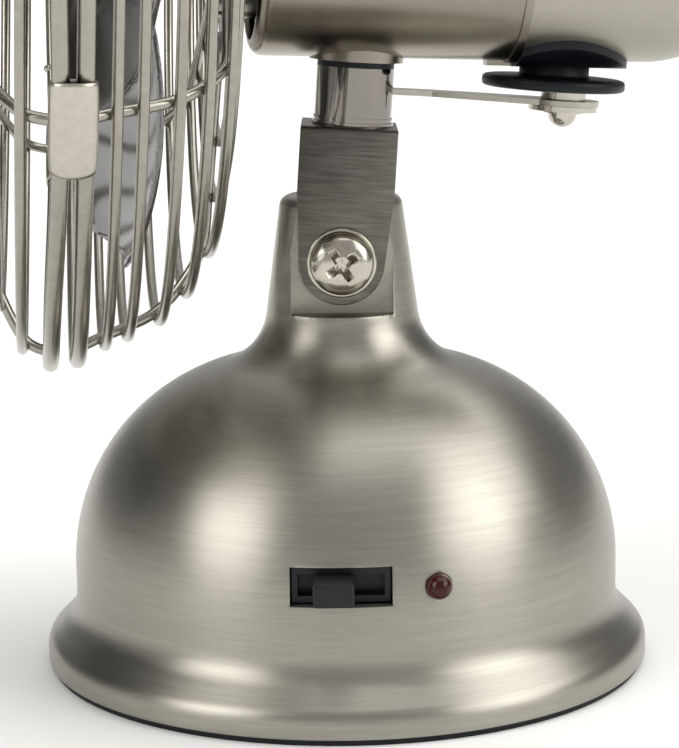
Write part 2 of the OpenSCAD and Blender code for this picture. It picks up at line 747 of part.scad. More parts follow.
module blade() {
    nu = 14;
    nv = 8;
    row = nv + 1;
    face = (nu + 1) * row;
    pts = [for (s = [-1, 1]) for (i = [0:nu]) for (j = [0:nv])
        blade_pt(i / nu, 2 * j / nv - 1) + [0, s * blade_t / 2, 0]];
    quads = [for (i = [0:nu - 1]) for (j = [0:nv - 1]) let (a = i * row + j) [a, a + 1, a + row + 1, a + row]];
    rim = concat([for (j = [0:nv]) j], [for (i = [1:nu]) i * row + nv],
                 [for (j = [1:nv]) nu * row + nv - j], [for (i = [1:nu - 1]) (nu - i) * row]);
    n = len(rim);
    polyhedron(points = pts, faces = [
        for (q = quads) each [[q[0], q[1], q[2]], [q[0], q[2], q[3]]],
        for (q = quads) each [[q[2] + face, q[1] + face, q[0] + face], [q[3] + face, q[2] + face, q[0] + face]],
        for (k = [0:n - 1]) let (a = rim[k], b = rim[(k + 1) % n])
            each [[a, a + face, b + face], [a, b + face, b]]]);
}

module fan_blades() {
    color([0.6, 0.6, 0.6]) in_motor() translate([0, -blade_y, 0])
        for (k = [0:blade_count - 1]) rotate([0, 20 + k * 360 / blade_count, 0]) blade();
}

module fan_hub() {
    color([0.6, 0.6, 0.6]) in_motor() difference() {
        union() {
            rod_y(11, -hub_y - 1, 9);
            rod_y(7, -hub_y + 7.9, 8);
        }
        rod_y(shaft_r + 0.01, -hub_y - 5, 40);
    }
}

module hub_spinner() {
    color([0.75, 0.75, 0.75]) in_motor() translate([0, -hub_y - 1.05, 0]) rotate([90, 0, 0]) difference() {
        intersection() {
            cylinder(r = 8, h = 11);
            translate([0, 0, -1]) sphere(r = 12);
        }
        translate([0, 0, -1]) cylinder(r = shaft_r + 0.02, h = 10.1);
    }
}

// ---- guard -----------------------------------------------------------------

mount_y = 28.8;
mount_r = 26;

module guard_mount() {
    color([0.6, 0.58, 0.55]) in_motor() difference() {
        union() {
            rod_y(mount_r, -mount_y, 1.2);
            for (a = [0:90:270]) rotate([0, a, 0]) translate([16, 0, 0]) rod_y(3, -mount_y + 1.1, mount_y - 1.15 - plate_y);
        }
        rod_y(10.5, -40, 30);
        for (a = [0:90:270]) rotate([0, a, 0]) translate([16, 0, 0]) rod_y(1.6, -40, 30);
    }
}

module guard_screws() {
    color([0.75, 0.75, 0.74]) in_motor() for (a = [0:90:270]) rotate([0, a, 0]) translate([16, 0, 0]) {
        rod_y(1.2, -mount_y - 1, mount_y + 1 - plate_y + 2.6);
        rod_y(2.8, -mount_y - 1.7, 1.65);
    }
}

module guard_ring(g) {
    translate([0, -g[1], 0]) rotate([90, 0, 0]) rotate_extrude($fn = 120)
        translate([g[0], 0]) circle(d = g[2], $fn = 20);
}

// Point of a support wire at ring g, moved inwards by inset and rearwards by push
function spoke_pt(g, inset, push) = [g[0] - inset, -g[1] + push];

// Unit normal of a path at point i
function path_n(p, i) = let (v = p[min(i + 1, len(p) - 1)] - p[max(i - 1, 0)]) [-v[1], v[0]] / norm(v);

// Six support wires that follow a path, [radius, y], in planes through the fan axis
module spokes(path) {
    half = thin_wire / 2;
    last = len(path) - 1;
    outline = concat([for (i = [0:last]) path[i] + half * path_n(path, i)],
                     [for (i = [0:last]) path[last - i] - half * path_n(path, last - i)]);
    for (a = spoke_angles) rotate([0, -a, 0]) translate([0, 0, -half])
        linear_extrude(thin_wire) polygon(outline);
}

front_path = [[20, -88.2], for (g = front_rings)
    spoke_pt(g, g[0] > 75 ? 1.9 : 1.1, g[0] > 75 ? 0.4 : 1.5), [rim_r - 2.4, -rim_y - 0.3]];
rear_path = [[rear_rim[0] - 2.4, -rear_rim[1] + 0.3], for (g = rear_rings)
    spoke_pt(g, g[0] > 60 ? 1.5 : 0.3, g[0] > 60 ? -1.1 : -1.85), [mount_r - 4, -mount_y - 0.9]];

module guard_front_rings() {
    color([0.6, 0.58, 0.55]) in_motor() {
        for (g = front_rings) guard_ring(g);
        guard_ring([rim_r, rim_y, rim_wire]);
    }
}

module guard_front_spokes() {
    color([0.6, 0.58, 0.55]) in_motor() spokes(front_path);
}

module guard_rear_rings() {
    color([0.6, 0.58, 0.55]) in_motor() {
        for (g = rear_rings) guard_ring(g);
        guard_ring(rear_rim);
    }
}

module guard_rear_spokes() {
    color([0.6, 0.58, 0.55]) in_motor() spokes(rear_path);
}

// Round cover at the centre of the front guard, slightly domed
module guard_badge() {
    color([0.6, 0.58, 0.55]) in_motor() translate([0, -88.4, 0]) rotate([90, 0, 0])
        rotate_extrude($fn = 120) {
            square([23, 1.2]);
            intersection() {
                square([20, 5]);
                translate([0, -55.9]) circle(r = 60, $fn = 720);
            }
        }
}

module guard_clips() {
    color([0.75, 0.74, 0.71]) in_motor() for (a = clip_angles) rotate([90, 0, 0]) rotate([0, 0, a - clip_span / 2])
        rotate_extrude(angle = clip_span, $fn = 120) difference() {
            clip_section(0.75);
            clip_section(0.1);
        }
}

// Section of a clip: both rim wires and the strip between them, grown by w
module clip_section(w) {
    a = [rim_r, rim_y];
    b = [rear_rim[0], rear_rim[1]];
    n = [a[1] - b[1], b[0] - a[0]] / norm(a - b) * (rim_wire / 2 + w);
    for (p = [a, b]) translate(p) circle(d = rim_wire + 2 * w, $fn = 40);
    polygon([a + n, b + n, b - n, a - n]);
}

foot_pad();
bottom_plate();
ballast_weight();
base_screws();
base_shell();
switch_body();
switch_knob();
led_holder();
led_lens();
cord_gland();
terminal_block();
tilt_screws();
tilt_washers();
yoke_bracket();
pivot_post();
pivot_bush();
thrust_washer();
link_anchor();
anchor_rivet();
link_arm();
pivot_pin();
pivot_washer();
pivot_nut();
pivot_saddle();
pivot_boss();
motor_front_shell();
motor_rear_shell();
motor_front_plate();
motor_rear_plate();
front_bearing();
rear_bearing();
stator_core();
stator_coils();
through_bolts();
gear_frame();
crank_grommet();
rotor_core();
motor_shaft();
worm();
fan_blades();
fan_hub();
hub_spinner();
worm_wheel();
crank_gear();
crank_shaft();
crank_disc();
crank_spacer();
crank_washer();
crank_screw();
guard_mount();
guard_screws();
guard_rear_rings();
guard_rear_spokes();
guard_front_rings();
guard_front_spokes();
guard_badge();
guard_clips();
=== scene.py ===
import json
import math
import bmesh
import bpy
from mathutils import Matrix, Vector


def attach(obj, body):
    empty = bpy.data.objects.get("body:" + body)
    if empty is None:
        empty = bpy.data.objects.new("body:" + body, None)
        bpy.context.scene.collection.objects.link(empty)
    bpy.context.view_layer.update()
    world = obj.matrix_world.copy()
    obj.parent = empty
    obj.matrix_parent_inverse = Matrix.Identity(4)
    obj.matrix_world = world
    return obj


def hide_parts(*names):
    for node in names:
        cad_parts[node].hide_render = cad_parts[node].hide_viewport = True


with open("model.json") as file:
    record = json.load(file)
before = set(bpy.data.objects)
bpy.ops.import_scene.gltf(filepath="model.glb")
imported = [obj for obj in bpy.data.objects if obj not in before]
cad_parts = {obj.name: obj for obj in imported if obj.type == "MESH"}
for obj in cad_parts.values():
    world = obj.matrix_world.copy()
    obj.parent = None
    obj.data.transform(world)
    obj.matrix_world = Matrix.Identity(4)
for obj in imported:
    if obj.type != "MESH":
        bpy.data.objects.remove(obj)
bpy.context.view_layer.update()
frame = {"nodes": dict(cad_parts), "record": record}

MM = 0.001
scene = bpy.context.scene


# ---------------------------------------------------------------- frames
def joint(name):
    return next(j for j in frame["record"]["behaviour"]["joints"] if j["name"] == name)


def basis(x, y, z, origin):
    m = Matrix((x, y, z)).transposed().to_4x4()
    m.translation = origin
    return m


UP = Vector(joint("swing")["axis"]).normalized()
TILT = Vector(joint("tilt")["pos_m"])
YOKE = basis(Vector((1, 0, 0)), UP.cross(Vector((1, 0, 0))), UP, TILT)
FAN = Vector(joint("blade_spin")["axis"]).normalized()
FAN_X = FAN.cross(UP).normalized()
HUB = Vector(joint("blade_spin")["pos_m"])
# Fan frame: Y along the fan axis towards the rear, origin where the hub is
MOTOR = basis(FAN_X, FAN, FAN_X.cross(FAN), HUB)
HEAD_Y = UP.cross(FAN_X).normalized()
CRANK = basis(FAN_X, HEAD_Y, UP, Vector(joint("crank_turn")["pos_m"]))
HUB_Y = 56.0


# ---------------------------------------------------------------- node helpers
class Nodes:
    def __init__(self, tree):
        self.t = tree
        self.links = tree.links

    def new(self, kind, **props):
        n = self.t.nodes.new(kind)
        for k, v in props.items():
            setattr(n, k, v)
        return n

    def put(self, sock, v):
        if isinstance(v, (int, float)):
            sock.default_value = v
        elif isinstance(v, (tuple, list)):
            sock.default_value = v if len(v) == len(sock.default_value) else (*v, 1.0)
        else:
            self.links.new(v, sock)

    def math(self, op, a, b=0.0, c=0.0, clamp=False):
        n = self.new("ShaderNodeMath", operation=op, use_clamp=clamp)
        for s, v in zip(n.inputs, (a, b, c)):
            self.put(s, v)
        return n.outputs[0]

    def vmath(self, op, a, b=(0, 0, 0)):
        n = self.new("ShaderNodeVectorMath", operation=op)
        self.put(n.inputs[0], a)
        self.put(n.inputs[1], b)
        return n.outputs["Value" if op in ("DOT_PRODUCT", "LENGTH") else "Vector"]

    def xyz(self, v):
        n = self.new("ShaderNodeSeparateXYZ")
        self.put(n.inputs[0], v)
        return n.outputs

    def vec(self, x, y, z):
        n = self.new("ShaderNodeCombineXYZ")
        for s, v in zip(n.inputs, (x, y, z)):
            self.put(s, v)
        return n.outputs[0]

    def step(self, x, lo, hi, out_lo=0.0, out_hi=1.0):
        n = self.new("ShaderNodeMapRange", interpolation_type="SMOOTHSTEP")
        for s, v in zip(n.inputs, (x, lo, hi, out_lo, out_hi)):
            self.put(s, v)
        return n.outputs[0]

    def noise(self, v, scale, detail=2.0, rough=0.5, distort=0.0):
        n = self.new("ShaderNodeTexNoise")
        self.put(n.inputs["Vector"], v)
        for k, q in (("Scale", scale), ("Detail", detail), ("Roughness", rough), ("Distortion", distort)):
            n.inputs[k].default_value = q
        return n.outputs["Fac"]

    def mix(self, f, a, b, blend="MIX"):
        n = self.new("ShaderNodeMix", data_type="RGBA", blend_type=blend)
        self.put(n.inputs["Factor"], f)
        self.put(n.inputs["A"], a)
        self.put(n.inputs["B"], b)
        return n.outputs["Result"]

    def bump(self, h, dist, strength=1.0, normal=None):
        n = self.new("ShaderNodeBump")
        self.put(n.inputs["Height"], h)
        n.inputs["Distance"].default_value = dist
        n.inputs["Strength"].default_value = strength
        if normal is not None:
            self.put(n.inputs["Normal"], normal)
        return n.outputs["Normal"]

    def coords(self, m=None):
        """Object coordinates in millimetres, turned into frame m when one is given."""
        v = self.new("ShaderNodeTexCoord").outputs["Object"]
        if m is None:
            return self.scaled(v, 1000.0)
        inv = m.inverted()
        rel = self.vmath("SUBTRACT", v, tuple(m.translation))
        axes = [self.vmath("DOT_PRODUCT", rel, tuple(inv.to_3x3()[i])) for i in range(3)]
        return self.scaled(self.vec(*axes), 1000.0)

    def scaled(self, v, k):
        n = self.new("ShaderNodeVectorMath", operation="SCALE")
        self.put(n.inputs[0], v)
        n.inputs["Scale"].default_value = k
        return n.outputs["Vector"]


def material(name, color, rough, metallic=0.0, **sockets):
    m = bpy.data.materials.new(name)
    m.use_nodes = True
    n = Nodes(m.node_tree)
    p = m.node_tree.nodes["Principled BSDF"]
    p.inputs["Base Color"].default_value = (*color, 1.0)
    p.inputs["Roughness"].default_value = rough
    p.inputs["Metallic"].default_value = metallic
    for k, v in sockets.items():
        p.inputs[k.replace("_", " ")].default_value = v
    return m, n, p


def around(n, p, freq, along):
    """Stretched coordinates for brushing that runs round the Z axis of p: slow round it, fast along."""
    x, y, z = n.xyz(p)
    r = n.math("MAXIMUM", n.math("SQRT", n.math("ADD", n.math("MULTIPLY", x, x), n.math("MULTIPLY", y, y))), 0.5)
    return n.vec(n.math("MULTIPLY", n.math("DIVIDE", x, r), freq),
                 n.math("MULTIPLY", n.math("DIVIDE", y, r), freq),
                 n.math("MULTIPLY", n.math("SUBTRACT", z, r), along))


# ---------------------------------------------------------------- materials
def brushed_round(name, color, rough, aniso, frame_m=None, freq=7.0, along=3.2, depth=0.012, vary=0.10):
    """Metal brushed round an axis, with soft blotches and fine strokes."""
    m, n, b = material(name, color, rough, 1.0, Anisotropic=aniso)
    p = n.coords(frame_m)
    v = around(n, p, freq, along)
    fine = n.noise(v, 1.0, 3.0, 0.6)
    v2 = around(n, p, freq * 0.35, along * 0.28)
    wide = n.noise(v2, 1.0, 2.0, 0.5)
    blot = n.noise(p, 0.035, 3.0, 0.6)
    tone = n.math("ADD", n.math("MULTIPLY", fine, 0.45), n.math("ADD", n.math("MULTIPLY", wide, 0.35),
                  n.math("MULTIPLY", blot, 0.2)))
    f = n.step(tone, 0.3, 0.7)
    dark = tuple(c * (1 - vary) for c in color)
    light = tuple(min(1.0, c * (1 + vary)) for c in color)
    n.links.new(n.mix(f, dark, light), b.inputs["Base Color"])
    rr = n.math("ADD", n.math("MULTIPLY", fine, 0.10), n.math("MULTIPLY", blot, 0.08))
    n.links.new(n.math("ADD", rr, rough - 0.09), b.inputs["Roughness"])
    n.links.new(n.bump(fine, depth * MM), b.inputs["Normal"])
    b.inputs["Anisotropic Rotation"].default_value = 0.25
    t = n.new("ShaderNodeTangent", direction_type="RADIAL", axis="Z")
    n.links.new(t.outputs[0], b.inputs["Tangent"])
    return m


def satin(name, color, rough, m_frame=None, stretch=(1, 1, 1), fine=3.0, depth=0.01, vary=0.08, metallic=1.0, **kw):
    """Satin metal with a directional grain set by stretch."""
    m, n, b = material(name, color, rough, metallic, **kw)
    p = n.coords(m_frame)
    g = n.noise(n.vmath("MULTIPLY", p, stretch), fine, 3.0, 0.6)
    blot = n.noise(p, 0.06, 3.0, 0.55)
    f = n.step(n.math("ADD", n.math("MULTIPLY", g, 0.6), n.math("MULTIPLY", blot, 0.4)), 0.3, 0.7)
    dark = tuple(c * (1 - vary) for c in color)
    light = tuple(min(1.0, c * (1 + vary)) for c in color)
    n.links.new(n.mix(f, dark, light), b.inputs["Base Color"])
    n.links.new(n.math("ADD", n.math("MULTIPLY", n.math("ADD", g, blot), 0.07), rough - 0.07), b.inputs["Roughness"])
    n.links.new(n.bump(g, depth * MM), b.inputs["Normal"])
    return m


def plastic(name, color, rough, grain=14.0, depth=0.012, vary=0.25, **kw):
    m, n, b = material(name, color, rough, 0.0, **kw)
    p = n.coords()
    g = n.noise(p, grain * 0.1, 4.0, 0.65)
    w = n.noise(p, 0.15, 2.0, 0.5)
    f = n.step(n.math("ADD", n.math("MULTIPLY", g, 0.4), n.math("MULTIPLY", w, 0.6)), 0.3, 0.7)
    n.links.new(n.mix(f, tuple(c * (1 - vary) for c in color), tuple(c * (1 + vary) for c in color)),
                b.inputs["Base Color"])
    n.links.new(n.math("ADD", n.math("MULTIPLY", w, 0.16), rough - 0.08), b.inputs["Roughness"])
    n.links.new(n.bump(g, depth * MM), b.inputs["Normal"])
    return m


# The metal base colours are set darker than the real metals to give the mid-tones: painted shade standing in for the
# dark surroundings the metal would reflect. The world light's lobes give the highlights.
NICKEL_PAINTED_SHADE = (0.36, 0.345, 0.305)
MAT = {
    "bell": brushed_round("bell_nickel", NICKEL_PAINTED_SHADE, 0.34, 0.7),
    # The yoke's nickel is a darker copy of the bell's nickel: painted shade.
    "yoke": satin("yoke_nickel", (0.155, 0.147, 0.13), 0.34, YOKE, (0.12, 0.10, 1.6), 1.0, 0.03, 0.30),
    "housing": satin("housing_nickel", (0.29, 0.265, 0.22), 0.25, MOTOR, (0.25, 0.25, 0.25), 0.6, 0.001, 0.05),
    # The rear shell's nickel is a lighter copy of the front shell's nickel: painted reflection; its higher roughness
    # is the real finish.
    "rear": satin("rear_nickel_painted_reflection", (0.40, 0.385, 0.33), 0.36, MOTOR, (1.0, 0.6, 1.0), 1.0, 0.004, 0.05),
    "chrome": satin("post_chrome", (0.25, 0.235, 0.215), 0.07, YOKE, (1.0, 1.0, 0.2), 0.6, 0.004, 0.05),
    "bright": satin("bright_steel", (0.52, 0.49, 0.43), 0.17, None, (1, 1, 1), 0.8, 0.006, 0.08),
    "link": satin("link_steel", (0.46, 0.44, 0.39), 0.3, YOKE, (2.0, 0.2, 1.0), 1.5, 0.008, 0.1),
    "wire": satin("wire_nickel", (0.36, 0.345, 0.305), 0.24, MOTOR, (1, 1, 1), 0.5, 0.006, 0.1),
    "clip": satin("clip_nickel", (0.52, 0.49, 0.43), 0.3, MOTOR, (0.6, 0.6, 0.6), 1.0, 0.008, 0.08),
    "blade": satin("blade_aluminium", (0.24, 0.24, 0.24), 0.12, MOTOR, (0.4, 0.4, 0.4), 0.5, 0.004, 0.08),
    "steel": satin("plain_steel", (0.40, 0.40, 0.40), 0.35, None, (1, 1, 1), 1.0, 0.008, 0.1),
    "lamination": satin("lamination", (0.30, 0.30, 0.31), 0.45, MOTOR, (0.3, 6.0, 0.3), 1.0, 0.03, 0.3),
    "iron": satin("cast_iron", (0.10, 0.10, 0.105), 0.6, None, (1, 1, 1), 0.8, 0.06, 0.25, 0.6),
    "bronze": satin("bronze", (0.45, 0.30, 0.13), 0.35, None, (1, 1, 1), 1.0, 0.01, 0.15),
    "copper": satin("winding", (0.42, 0.17, 0.05), 0.3, MOTOR, (0.4, 3.0, 0.4), 1.2, 0.05, 0.25),
    "rubber": plastic("black_rubber", (0.003, 0.004, 0.007), 0.42, Specular_IOR_Level=0.3),
    "black": plastic("black_plastic", (0.006, 0.007, 0.010), 0.4, Specular_IOR_Level=0.35),
    "white": plastic("white_plastic", (0.62, 0.60, 0.52), 0.45, vary=0.06),
    "lens": plastic("red_lens", (0.035, 0.001, 0.001), 0.14, vary=0.2, depth=0.003, IOR=1.4),
}
NODE_MAT = {
    "foot_pad": "rubber", "bottom_plate": "steel", "ballast_weight": "iron", "base_screws": "bright",
    "base_shell": "bell", "switch_body": "black", "switch_knob": "black", "led_holder": "black",
    "led_lens": "lens", "cord_gland": "rubber", "terminal_block": "white", "tilt_screws": "bright",
    "tilt_washers": "bright", "yoke_bracket": "yoke", "pivot_post": "chrome", "pivot_bush": "bronze",
    "thrust_washer": "rubber", "link_anchor": "yoke", "anchor_rivet": "bright", "link_arm": "link",
    "pivot_pin": "steel", "pivot_washer": "bright", "pivot_nut": "steel", "pivot_saddle": "housing",
    "pivot_boss": "steel", "motor_front_shell": "housing", "motor_rear_shell": "rear",
    "motor_front_plate": "black", "motor_rear_plate": "steel", "front_bearing": "bronze",
    "rear_bearing": "bronze", "stator_core": "lamination", "stator_coils": "copper",
    "through_bolts": "bright", "gear_frame": "steel", "crank_grommet": "rubber", "rotor_core": "lamination",
    "motor_shaft": "steel", "worm": "bright", "fan_blades": "blade", "fan_hub": "blade", "hub_spinner": "blade",
    "worm_wheel": "white", "crank_gear": "white", "crank_shaft": "steel", "crank_disc": "rubber",
    "crank_spacer": "bright", "crank_washer": "bright", "crank_screw": "bright", "guard_mount": "wire",
    "guard_screws": "bright", "guard_rear_rings": "wire", "guard_rear_spokes": "wire",
    "guard_front_rings": "wire", "guard_front_spokes": "wire", "guard_badge": "wire", "guard_clips": "clip",
}
for node, ob in frame["nodes"].items():
    for s in ob.material_slots:
        s.link = "OBJECT"
        s.material = MAT[NODE_MAT[node]]


# ---------------------------------------------------------------- mesh helpers
def finish_mesh(name, me, mat, body, nodes, smooth=True):
    ob = bpy.data.objects.new(name, me)
    scene.collection.objects.link(ob)
    me.materials.clear()
    me.materials.append(MAT[mat])
    if smooth:
        for p in me.polygons:
            p.use_smooth = True
    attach(ob, body)
    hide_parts(*nodes)


def mesh(name, verts, faces, m=None):
    me = bpy.data.meshes.new(name)
    me.from_pydata([Vector(v) * MM for v in verts], [], faces)
    if m is not None:
        me.transform(m)
    bm = bmesh.new()
    bm.from_mesh(me)
    bmesh.ops.remove_doubles(bm, verts=bm.verts, dist=1e-7)
    bmesh.ops.recalc_face_normals(bm, faces=bm.faces)
    bm.to_mesh(me)
    bm.free()
    return me


def join(name, parts):
    bm = bmesh.new()
    for me in parts:
        bm.from_mesh(me)
    out = bpy.data.meshes.new(name)
    bm.to_mesh(out)
    bm.free()
    return out


def arc(c, r, a0, a1, n):
    return [(c[0] + r * math.cos(math.radians(a0 + (a1 - a0) * i / n)),
             c[1] + r * math.sin(math.radians(a0 + (a1 - a0) * i / n))) for i in range(n + 1)]


def lathe(name, profile, segs=96, m=None):
    """Turns [radius, height] points in mm round Z, then places them with m."""
    verts, faces, n = [], [], len(profile)
    for k in range(segs):
        a = 2 * math.pi * k / segs
        verts += [(r * math.cos(a), r * math.sin(a), h) for r, h in profile]
    for k in range(segs):
        a, b = k * n, (k + 1) % segs * n
        for i in range(n):
            j = (i + 1) % n
            f = [a + i, b + i, b + j, a + j]
            if profile[i][0] == 0:
                f = [a + i, b + j, a + j]
            elif profile[j][0] == 0:
                f = [a + i, b + i, a + j]
            if profile[i][0] == 0 and profile[j][0] == 0:
                continue
            faces.append(f)
    return mesh(name, verts, faces, m)


def tube(name, pts, r, segs=14, closed=False, m=None):
    """Round wire of radius r through pts."""
    pts = [Vector(p) for p in pts]
    n = len(pts)
    tans = [(pts[(i + 1) % n] - pts[i - 1] if closed else pts[min(i + 1, n - 1)] - pts[max(i - 1, 0)]).normalized()
            for i in range(n)]
    side = tans[0].orthogonal().normalized()
    verts, faces = [], []
    for i in range(n):
        side = (side - tans[i] * side.dot(tans[i])).normalized()
        other = tans[i].cross(side)
        verts += [pts[i] + (side * math.cos(2 * math.pi * k / segs) + other * math.sin(2 * math.pi * k / segs)) * r
                  for k in range(segs)]
    for i in range(n if closed else n - 1):
        a, b = i * segs, (i + 1) % n * segs
        shift = 0
        if closed and i == n - 1:
            ref = verts[a]
            shift = min(range(segs), key=lambda s: (Vector(verts[s]) - Vector(ref)).length)
        for k in range(segs):
            faces.append([a + k, a + (k + 1) % segs, b + (k + 1 + shift) % segs, b + (k + shift) % segs])
    if not closed:
        faces += [list(range(segs))[::-1], [(n - 1) * segs + k for k in range(segs)]]
    return mesh(name, verts, faces, m)


def applied(ob):
    """Replaces the object's mesh by what its modifiers make of it."""
    deps = bpy.context.evaluated_depsgraph_get()
    me = bpy.data.meshes.new_from_object(ob.evaluated_get(deps))
    ob.modifiers.clear()
    ob.data = me
    return me


def cut(me, cutters, bevel=0.0, angle=35, segs=2):
    """Cuts each cutter mesh out of me, then rounds the sharp edges by bevel mm."""
    ob = bpy.data.objects.new("tmp", me)
    scene.collection.objects.link(ob)
    tools = []
    for c in cutters:
        t = bpy.data.objects.new("tool", c)
        scene.collection.objects.link(t)
        tools.append(t)
        b = ob.modifiers.new("cut", "BOOLEAN")
        b.object, b.operation, b.solver = t, "DIFFERENCE", "EXACT"
    if bevel:
        b = ob.modifiers.new("edge", "BEVEL")
        b.width, b.segments, b.limit_method = bevel * MM, segs, "ANGLE"
        b.angle_limit = math.radians(angle)
        b.harden_normals = True
        b.use_clamp_overlap = True
    bpy.context.view_layer.update()
    out = applied(ob)
    for t in [ob] + tools:
        bpy.data.objects.remove(t)
    return out


def block(lo, hi, m=None):
    (a, b, c), (d, e, f) = lo, hi
    v = [(x, y, z) for x in (a, d) for y in (b, e) for z in (c, f)]
    return mesh("block", v, [[0, 1, 3, 2], [4, 6, 7, 5], [0, 4, 5, 1], [2, 3, 7, 6], [0, 2, 6, 4], [1, 5, 7, 3]], m)


X_AXIS = Matrix(((0, 0, 1, 0), (1, 0, 0, 0), (0, 1, 0, 0), (0, 0, 0, 1)))  # local Z to +X, local X to +Y


# ---------------------------------------------------------------- base shell
BELL_R, BASE_R, PAD, NECK_TOP, BELL_WALL = 58.5, 65.0, 1.2, 100.5, 1.6
NECK_R, NECK_REF, TOP_ROUND = 13.1, 97.9, 2.5
SHOULDER, COVE = 4.2, 8.0
TILT_Z, FLAT_X, SLOT_Z, LAMP, GLAND_Z = 87.0, 9.5, (26.0, 33.6), (18.1, 29.2), 21.0
dome_c, slope, fillet_r = (14.8, 22.0), math.atan(0.1366), 13.0
dome_r = BELL_R - dome_c[0]
nn = (math.cos(slope), math.sin(slope))
line = NECK_R * nn[0] + NECK_REF * nn[1] + fillet_r
dome_a = slope + math.acos((line - dome_c[0] * nn[0] - dome_c[1] * nn[1]) / (dome_r + fillet_r))
fil = (dome_c[0] + (dome_r + fillet_r) * math.cos(dome_a), dome_c[1] + (dome_r + fillet_r) * math.sin(dome_a))
top_z = NECK_TOP - TOP_ROUND
edge = NECK_R + (NECK_REF - top_z) * math.tan(slope)
rc = (edge - TOP_ROUND * nn[0], top_z - TOP_ROUND * nn[1])
deg = math.degrees
outer = [(BASE_R - 0.5, PAD), (BASE_R - 0.12, PAD + 0.15), (BASE_R, PAD + 0.6)]
outer += arc((BASE_R - SHOULDER, SHOULDER), SHOULDER, 0, 45, 10)
cove_z = SHOULDER + BASE_R - BELL_R + (SHOULDER + COVE) * (math.sqrt(2) - 1)
outer += arc((BELL_R + COVE, cove_z), COVE, 225, 180, 10) + [(BELL_R, 19.0)]
outer += arc(dome_c, dome_r, 0, deg(dome_a), 60)
outer += arc(fil, fillet_r, deg(dome_a) + 180, deg(slope) + 180, 24)[1:]
n_neck = 8
p0, p1 = outer[-1], (rc[0] + TOP_ROUND * nn[0], rc[1] + TOP_ROUND * nn[1])
outer += [(p0[0] + (p1[0] - p0[0]) * i / n_neck, p0[1] + (p1[1] - p0[1]) * i / n_neck) for i in range(1, n_neck)]
outer += arc(rc, TOP_ROUND, deg(slope), 90, 10) + [(0, NECK_TOP)]
inner = [(0, 70.0), (10, 70.0), (14, 62), (dome_c[0] + 20, 56), (BELL_R - 6, 40), (BELL_R - BELL_WALL, 22),
         (BELL_R - BELL_WALL, 2.4), (60.6, 2.4), (60.6, PAD)]
shell = lathe("bell", outer + inner, 256)
cuts = []
for s in (1, -1):
    w = 10.75
    prof = [(-w, 76.0), (w, 76.0), (w, 106), (-w, 106)]
    v = [(s * FLAT_X, y, z) for y, z in prof] + [(s * 30, y, z) for y, z in prof]
    cuts.append(mesh("pocket", v, [[0, 1, 2, 3], [7, 6, 5, 4], [0, 4, 5, 1], [1, 5, 6, 2], [2, 6, 7, 3],
                                   [3, 7, 4, 0]]))
cuts.append(block((48, -11, SLOT_Z[0]), (70, 9, SLOT_Z[1])))
cuts.append(lathe("hole", [(0, 48), (2.55, 48), (2.55, 70), (0, 70)], 48,
                  Matrix.Translation((0, LAMP[0] * MM, LAMP[1] * MM)) @ X_AXIS))
cuts.append(lathe("hole2", [(0, -70), (4.5, -70), (4.5, -40), (0, -40)], 48,
                  Matrix.Translation((0, 0, GLAND_Z * MM)) @ X_AXIS))
finish_mesh("bell_shell", cut(shell, cuts, 0.35, 30, 3), "bell", "base", ["base_shell"])

# ---------------------------------------------------------------- tilt screws and washers
heads = []
for s in (1, -1):
    m = Matrix.Diagonal((s, 1, 1, 1)) @ Matrix.Translation((0, 0, TILT_Z * MM)) @ X_AXIS
    prof = [(0, 4.75), (2.0, 4.68), (3.6, 4.42), (5.0, 3.9), (5.9, 3.2), (6.35, 2.45), (6.5, 1.7), (6.5, 0.5),
            (6.3, 0.15), (5.9, 0.0), (0, 0.0)]
    head = lathe("head", [(r, h + 12.65) for r, h in prof], 72, m)
    tools = []
    for k in (0, 90):
        a = Matrix.Rotation(math.radians(33 + k), 4, "Z")
        z0, z1 = 14.6, 17.9
        w0, w1, l0, l1 = 0.6, 0.95, 1.6, 4.3
        v = [(x * l, y * w, z) for l, w, z in ((l0, w0, z0), (l1, w1, z1))
             for x, y in ((-1, -1), (1, -1), (1, 1), (-1, 1))]
        tools.append(mesh("cross", v, [[0, 3, 2, 1], [4, 5, 6, 7], [0, 1, 5, 4], [1, 2, 6, 5], [2, 3, 7, 6],
                                       [3, 0, 4, 7]], m @ a))
    heads.append(cut(head, tools, 0.09, 40, 2))
    heads.append(lathe("shank", [(0, 5), (2.95, 5), (2.95, 12.7), (0, 12.7)], 48, m))
finish_mesh("tilt_screw_heads", join("tilt_screws", heads), "bright", "base", ["tilt_screws"])
rings = []
for s in (1, -1):
    m = Matrix.Diagonal((s, 1, 1, 1)) @ Matrix.Translation((0, 0, TILT_Z * MM)) @ X_AXIS
    rings.append(lathe("washer", [(3.2, 11.85), (7.0, 11.85), (7.3, 12.05), (7.3, 12.4), (7.05, 12.62), (6.6, 12.64),
                                  (6.45, 12.5), (3.2, 12.5)], 96, m))
finish_mesh("tilt_washer_rings", join("washers", rings), "bright", "base", ["tilt_washers"])

# ---------------------------------------------------------------- yoke bracket
def prism(name, outline, h0, h1, m=None):
    """Solid with a flat outline in local XY, from h0 to h1 along Z."""
    n = len(outline)
    v = [(x, y, h) for h in (h0, h1) for x, y in outline]
    f = [list(range(n))[::-1], list(range(n, 2 * n))]
    f += [[i, (i + 1) % n, n + (i + 1) % n, n + i] for i in range(n)]
    return mesh(name, v, f, m)


